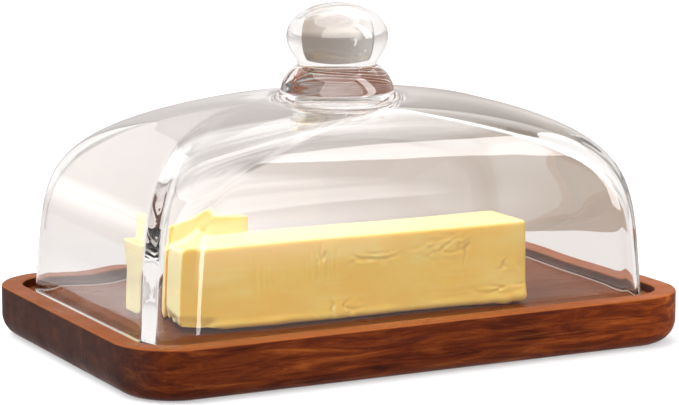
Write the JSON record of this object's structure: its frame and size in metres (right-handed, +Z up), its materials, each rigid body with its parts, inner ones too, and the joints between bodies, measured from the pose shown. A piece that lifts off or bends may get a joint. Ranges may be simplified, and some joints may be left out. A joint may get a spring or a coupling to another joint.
{
  "type": "butter dish",
  "caption": "Butter dish: a shallow rounded-oblong wooden tray with a recess, covered by a loose thick clear-glass dome with a solid ball knob; butter lies on the tray",
  "frame": {"origin": "centre of the tray's underside, on the surface that the dish stands on", "axes": "+X along the tray's long side, +Y across it away from the side where the stick of butter lies, +Z up; the knob's axis is the Z axis"},
  "size_m": [0.2, 0.132, 0.1116],
  "materials": {
    "oiled_wood": "satin",
    "clear_glass": "polished",
    "butter": "satin"
  },
  "bodies": {
    "base": {"tray": "oiled_wood", "butter_stick": "butter", "butter_chunk": "butter"},
    "cover": {"glass_dome": "clear_glass", "glass_knob": "clear_glass"}
  },
  "joints": [
    {"name": "cover_lift", "type": "slide", "parent": "base", "child": "cover", "axis": [0, 0, 1], "range_m": [0, 0.12]}
  ]
}
